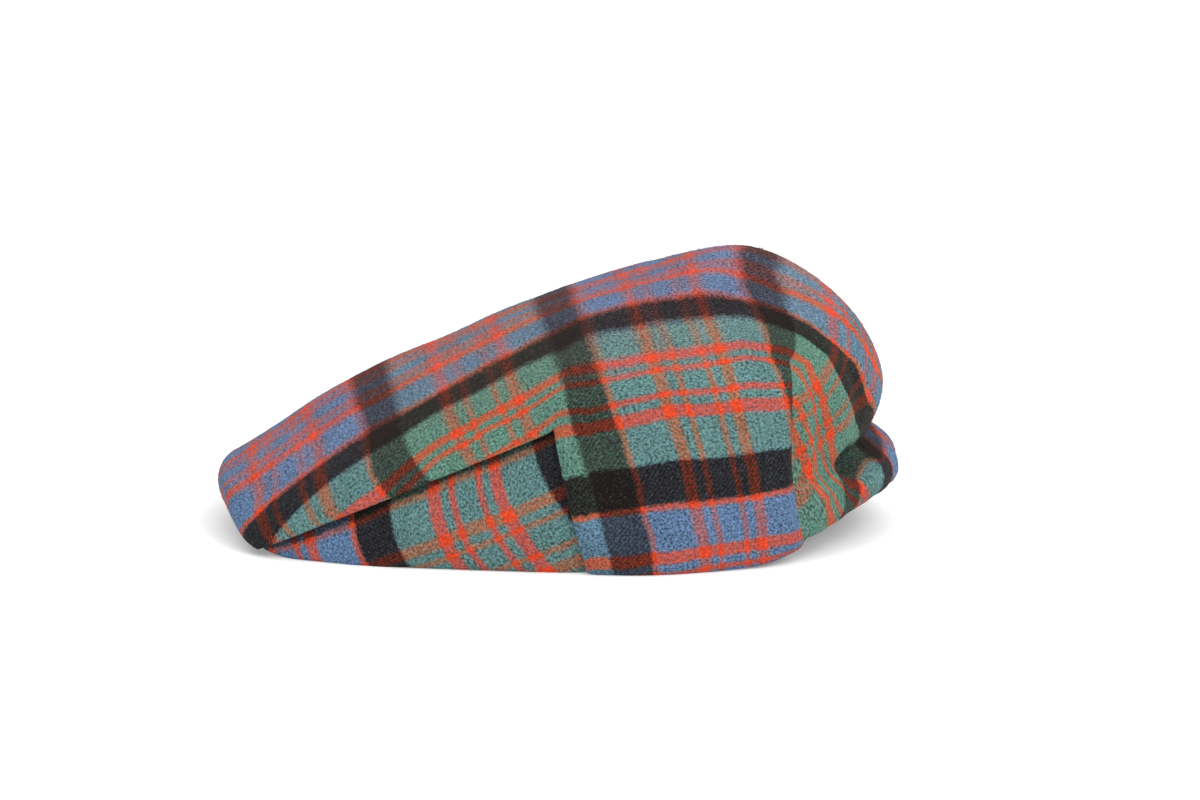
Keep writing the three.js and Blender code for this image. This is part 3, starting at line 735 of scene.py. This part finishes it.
def fibres(name, P, N, cells, count, seed, use=None):
    """Short tapered fibres standing from a cloth's face, each in the colour of the yarn that it grows from.
    P and N are grids of points and normals, and cells holds the cloth coordinates of each cell's corners."""
    pick = np.random.default_rng(seed)
    a, b, c, d = P[:-1, :-1], P[:-1, 1:], P[1:, :-1], P[1:, 1:]
    area = np.linalg.norm(np.cross(d - a, c - b), axis=-1)
    if use is not None:
        area = area * use
    k = pick.choice(area.size, count, p=area.ravel() / area.sum())
    i, j = np.unravel_index(k, area.shape)
    x, y = pick.uniform(0, 1, (2, count, 1))

    def inside(q00, q01, q10, q11):
        return (q00 * (1 - y) + q01 * y) * (1 - x) + (q10 * (1 - y) + q11 * y) * x

    root = inside(a[i, j], b[i, j], c[i, j], d[i, j])
    up = unit(inside(N[:-1, :-1][i, j], N[:-1, 1:][i, j], N[1:, :-1][i, j], N[1:, 1:][i, j]))
    uv = inside(*(cells[i, j, m] for m in range(4)))
    side = unit(np.cross(up, unit(pick.normal(size=(count, 3)))))
    way = unit(side + up * pick.uniform(0.35, 1.3, (count, 1)))
    bend = unit(way + 0.9 * unit(pick.normal(size=(count, 3))) + 0.25 * up)
    length = pick.uniform(0.7, 1.9, (count, 1))
    thick = pick.uniform(0.05, 0.085, (count, 1))
    p0 = root - up * 0.35
    p1 = root + way * length * 0.55
    p2 = p1 + bend * length * 0.45
    e1 = unit(np.cross(way, up + 0.3 * side))
    e2 = np.cross(way, e1)
    turn = np.arange(3) * 2 * np.pi / 3
    circle = e1[:, None] * np.cos(turn)[None, :, None] + e2[:, None] * np.sin(turn)[None, :, None]
    verts = np.concatenate([p0[:, None] + circle * thick[:, None], p1[:, None] + circle * thick[:, None] * 0.75, p2[:, None]], 1)
    verts[..., 2] = np.maximum(verts[..., 2], 0.05)
    quads = np.array([(0, 2, 1, 1)] + [(m, (m + 1) % 3, 3 + (m + 1) % 3, 3 + m) for m in range(3)]
                     + [(3 + m, 3 + (m + 1) % 3, 6, 6) for m in range(3)])
    quads = (np.arange(count)[:, None, None] * 7 + quads[None]).reshape(-1, 4)
    return make_mesh(name, verts.reshape(-1, 3), quads, np.repeat(uv[:, None, None], 7, 1).repeat(4, 2).reshape(-1, 4, 2))


crown, *crown_face = crown_piece()
gusset_left, *left_face = gusset_piece(1, "gusset_left_cloth")
gusset_right, *right_face = gusset_piece(-1, "gusset_right_cloth")
peak = peak_piece()
crown_nap = fibres("crown_nap", *crown_face, 9000, SEED + 2)
left_nap = fibres("gusset_left_nap", *left_face[:3], 900, SEED + 3, left_face[3])
right_nap = fibres("gusset_right_nap", *right_face[:3], 900, SEED + 4, right_face[3])

# ---- Cloth -------------------------------------------------------------------------------

# yarn colours as mixed in the cloth, before the curve CURVE; the last number says that the yarn covers more than others do
CURVE = 2.2
GREEN, BLUE = (0.330, 0.468, 0.416, 0.0), (0.332, 0.432, 0.555, 0.0)
BLACK, RED = (0.112, 0.097, 0.090, 1.0), (0.805, 0.268, 0.160, 0.53)
# half of the sett, from the middle of the blue: where each stripe starts and its yarn
STRIPES = [(0, BLUE), (12, RED), (18, BLUE), (27.5, RED), (40.5, BLUE), (80.5, RED), (86.5, BLACK),
           (127.5, GREEN), (167.5, RED), (180.5, GREEN), (190, RED), (196, GREEN)]


class Nodes:
    def __init__(self, material):
        material.use_nodes = True
        self.tree = material.node_tree
        self.tree.nodes.clear()

    def add(self, kind, **values):
        node = self.tree.nodes.new(kind)
        for key, value in values.items():
            setattr(node, key, value)
        return node

    def put(self, socket, value):
        if isinstance(value, bpy.types.NodeSocket):
            self.tree.links.new(value, socket)
        else:
            socket.default_value = value

    def math(self, op, a, b=None, c=None, clamp=False):
        node = self.add("ShaderNodeMath", operation=op, use_clamp=clamp)
        for i, x in enumerate((a, b, c)):
            if x is not None:
                self.put(node.inputs[i], x)
        return node.outputs[0]

    def vector(self, x, y, z=0.0):
        node = self.add("ShaderNodeCombineXYZ")
        for i, v in enumerate((x, y, z)):
            self.put(node.inputs[i], v)
        return node.outputs[0]

    def noise(self, vec, scale, detail=2.0, rough=0.5):
        node = self.add("ShaderNodeTexNoise", noise_dimensions="3D")
        self.put(node.inputs["Vector"], vec)
        node.inputs["Scale"].default_value = scale
        node.inputs["Detail"].default_value = detail
        node.inputs["Roughness"].default_value = rough
        return node.outputs["Fac"]

    def mix(self, fac, a, b, blend="MIX"):
        node = self.add("ShaderNodeMix", data_type="RGBA", blend_type=blend)
        self.put(node.inputs[0], fac)
        self.put(node.inputs[6], a)
        self.put(node.inputs[7], b)
        return node.outputs[2]

    def stripes(self, x):
        fold = self.math("DIVIDE", self.math("PINGPONG", x, HALF_SETT), HALF_SETT)
        node = self.add("ShaderNodeValToRGB")
        ramp = node.color_ramp
        ramp.interpolation = "CONSTANT"
        ramp.elements[0].position, ramp.elements[0].color = 0.0, STRIPES[0][1]
        ramp.elements[1].position, ramp.elements[1].color = STRIPES[1][0] / 208, STRIPES[1][1]
        for at, colour in STRIPES[2:]:
            ramp.elements.new(at / 208).color = colour
        self.put(node.inputs[0], fold)
        return node.outputs[0], node.outputs[1]

    def soft_stripes(self, x, reach):
        """The mean of three looks at the stripes, so that the nap blends one into the next."""
        (c0, a0), (c1, a1), (c2, a2) = (self.stripes(self.math("MULTIPLY_ADD", reach, k, x)) for k in (-1.0, 0.0, 1.0))
        cover = self.math("DIVIDE", self.math("ADD", self.math("ADD", a0, a1), a2), 3.0)
        return self.mix(1 / 3, self.mix(0.5, c0, c2), c1), cover


def cloth(name, shift, weak_share=0.27):
    """Brushed wool twill. u is the yarn that shows most, v crosses it; both in millimetres."""
    material = bpy.data.materials.new(name)
    n = Nodes(material)
    uv = n.add("ShaderNodeUVMap", uv_map="cloth").outputs[0]
    parts = n.add("ShaderNodeSeparateXYZ")
    n.put(parts.inputs[0], uv)
    u, v = parts.outputs[0], parts.outputs[1]
    flat = n.vector(u, v, shift)
    # yarns wander a little, and the nap blurs the edges of the stripes
    wander_u = n.math("MULTIPLY_ADD", n.noise(flat, 0.035, 1.0), 3.0, -1.5)
    wander_v = n.math("MULTIPLY_ADD", n.noise(n.vector(u, v, shift + 31.0), 0.035, 1.0), 3.0, -1.5)
    # mask of the upward roof faces: it widens the nap's blur of the stripes and paints a warm sheen into the colour
    nap_haze_and_sheen = n.add("ShaderNodeAttribute", attribute_name="nap_haze_and_sheen").outputs["Fac"]
    nap_u = n.math("SUBTRACT", n.noise(n.vector(u, n.math("MULTIPLY", v, 0.6), shift + 3.0), 1.05, 3.0, 0.7), 0.5)
    nap_u = n.math("MULTIPLY", nap_u, n.math("MULTIPLY_ADD", nap_haze_and_sheen, 5.0, 3.2))
    nap_v = n.math("SUBTRACT", n.noise(n.vector(n.math("MULTIPLY", u, 0.7), v, shift + 7.0), 1.05, 3.0, 0.7), 0.5)
    nap_v = n.math("MULTIPLY", nap_v, n.math("MULTIPLY_ADD", nap_haze_and_sheen, 4.5, 3.6))
    strong, strong_cover = n.soft_stripes(n.math("ADD", n.math("ADD", u, wander_u), nap_u), n.math("MULTIPLY_ADD", nap_haze_and_sheen, 1.3, 0.5))
    weak, weak_cover = n.soft_stripes(n.math("ADD", n.math("ADD", v, wander_v), nap_v), n.math("MULTIPLY_ADD", nap_haze_and_sheen, 1.1, 0.6))
    # twill: diagonal floats of the crossing yarn
    wave = n.math("SINE", n.math("MULTIPLY", n.math("ADD", n.math("ADD", u, v), n.math("MULTIPLY", nap_u, 0.5)), 2 * math.pi / 1.9))
    grain = n.noise(n.vector(u, n.math("MULTIPLY", v, 0.8), shift + 13.0), 1.1, 3.0, 0.65)
    cover = n.math("ADD", n.math("MULTIPLY_ADD", weak_cover, 0.30, weak_share),
                   n.math("MULTIPLY", strong_cover, n.math("MULTIPLY_ADD", strong_cover, -0.502, 0.372)))
    share = n.math("ADD", n.math("MULTIPLY_ADD", wave, 0.08, cover), n.math("MULTIPLY_ADD", grain, 0.9, -0.445), clamp=True)
    gamma = n.add("ShaderNodeGamma")
    blend = n.mix(share, strong, weak)
    n.put(gamma.inputs[0], blend)
    gamma.inputs[1].default_value = CURVE
    # flecks: each tuft lighter or darker, with pale hairs
    tuft = n.noise(n.vector(u, n.math("MULTIPLY", v, 0.8), shift + 19.0), 1.1, 3.0, 0.7)
    broad = n.noise(n.vector(u, v, shift + 23.0), 0.06, 2.0)
    value = n.math("MAXIMUM", n.math("ADD", n.math("MULTIPLY_ADD", tuft, 4.9, -1.45), n.math("MULTIPLY_ADD", broad, 0.4, -0.2)), 0.25)
    # the red yarn is felted more evenly than the rest
    dye = n.add("ShaderNodeSeparateColor")
    n.put(dye.inputs[0], blend)
    even = n.math("MULTIPLY", n.math("SUBTRACT", dye.outputs[0], dye.outputs[1]), 1.0, clamp=True)
    value = n.math("ADD", n.math("MULTIPLY", value, n.math("SUBTRACT", 1.0, even)), even)
    value_with_painted_sheen = n.math("MULTIPLY", value, n.math("MULTIPLY_ADD", nap_haze_and_sheen, 0.19, 1.0))        # painted sheen: the roof's upward faces are made redder, for the warm glow of its fuzz in grazing light
    flecked = n.mix(1.0, gamma.outputs[0], n.vector(value_with_painted_sheen, value, value), "MULTIPLY")
    hairs = n.math("MULTIPLY", n.math("GREATER_THAN", n.noise(n.vector(n.math("MULTIPLY", u, 1.6), n.math("MULTIPLY", v, 0.9), shift + 29.0), 1.1, 2.0), 0.66), 0.22)
    colour = n.mix(hairs, flecked, (0.20, 0.20, 0.20, 1.0))
    height = n.math("ADD", n.math("MULTIPLY", wave, 0.16), n.math("ADD", tuft, grain))
    bump = n.add("ShaderNodeBump")
    bump.inputs["Strength"].default_value = 0.55
    bump.inputs["Distance"].default_value = 0.0007
    n.put(bump.inputs["Height"], height)
    shader = n.add("ShaderNodeBsdfPrincipled")
    n.put(shader.inputs["Base Color"], colour)
    n.put(shader.inputs["Normal"], bump.outputs[0])
    shader.inputs["Roughness"].default_value = 0.95
    shader.inputs["Specular IOR Level"].default_value = 0.15
    shader.inputs["Sheen Weight"].default_value = 0.04
    shader.inputs["Sheen Roughness"].default_value = 0.45
    shader.inputs["Sheen Tint"].default_value = (1.0, 0.7, 0.65, 1.0)
    out = n.add("ShaderNodeOutputMaterial")
    n.put(out.inputs["Surface"], shader.outputs[0])
    return material


for piece, node, slot, shift in (
    (crown, "crown", "crown_cloth", 0.0),
    (gusset_left, "side_gusset_left", "gusset_left_cloth", 100.0),
    (gusset_right, "side_gusset_right", "gusset_right_cloth", 200.0),
    (peak, "peak", "peak_cloth", 300.0),
):
    piece.data.materials.append(cloth(slot, shift))
    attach(piece, "root")
    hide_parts(node)
for piece, base, slot in (
    (crown_nap, crown, "crown_cloth"),
    (left_nap, gusset_left, "gusset_left_cloth"),
    (right_nap, gusset_right, "gusset_right_cloth"),
):
    piece.data.materials.append(base.data.materials[0])
    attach(piece, "root")

# ---- Floor and light ---------------------------------------------------------------------

floor_mesh = bpy.data.meshes.new("floor")
floor_mesh.from_pydata([(-9, -9, 0), (9, -9, 0), (9, 9, 0), (-9, 9, 0)], [], [(0, 1, 2, 3)])
floor = bpy.data.objects.new("floor", floor_mesh)
bpy.context.scene.collection.objects.link(floor)
pale = bpy.data.materials.new("pale_floor")
pale.use_nodes = True
pale.node_tree.nodes["Principled BSDF"].inputs["Base Color"].default_value = (0.88, 0.88, 0.88, 1)
pale.node_tree.nodes["Principled BSDF"].inputs["Roughness"].default_value = 0.9
pale.node_tree.nodes["Principled BSDF"].inputs["Specular IOR Level"].default_value = 0.1
pale.node_tree.nodes["Principled BSDF"].inputs["Emission Color"].default_value = (1, 1, 1, 1)
pale.node_tree.nodes["Principled BSDF"].inputs["Emission Strength"].default_value = 0.22
floor_mesh.materials.append(pale)

world = bpy.data.worlds.new("studio")
bpy.context.scene.world = world
world.use_nodes = True
world.node_tree.nodes["Background"].inputs[0].default_value = (1.0, 1.0, 1.0, 1)
world.node_tree.nodes["Background"].inputs[1].default_value = 0.42


def softbox(name, at, aim, size, power):
    data = bpy.data.lights.new(name, "AREA")
    data.shape, data.size, data.energy = "SQUARE", size, power
    light = bpy.data.objects.new(name, data)
    light.location = at
    light.rotation_euler = (Vector(aim) - Vector(at)).to_track_quat("-Z", "Y").to_euler()
    bpy.context.scene.collection.objects.link(light)


softbox("overhead", (0.3, 0.8, 2.8), (0.3, 0.8, 0), 6.0, 140.0)
softbox("key", (1.1, 1.1, 1.4), (0, 0.03, 0.05), 1.2, 16.5)
softbox("fill", (1.5, -0.9, 0.8), (0, 0, 0.05), 1.2, 4.0)

scene = bpy.context.scene
scene.view_settings.view_transform = "Standard"
scene.view_settings.look = "None"
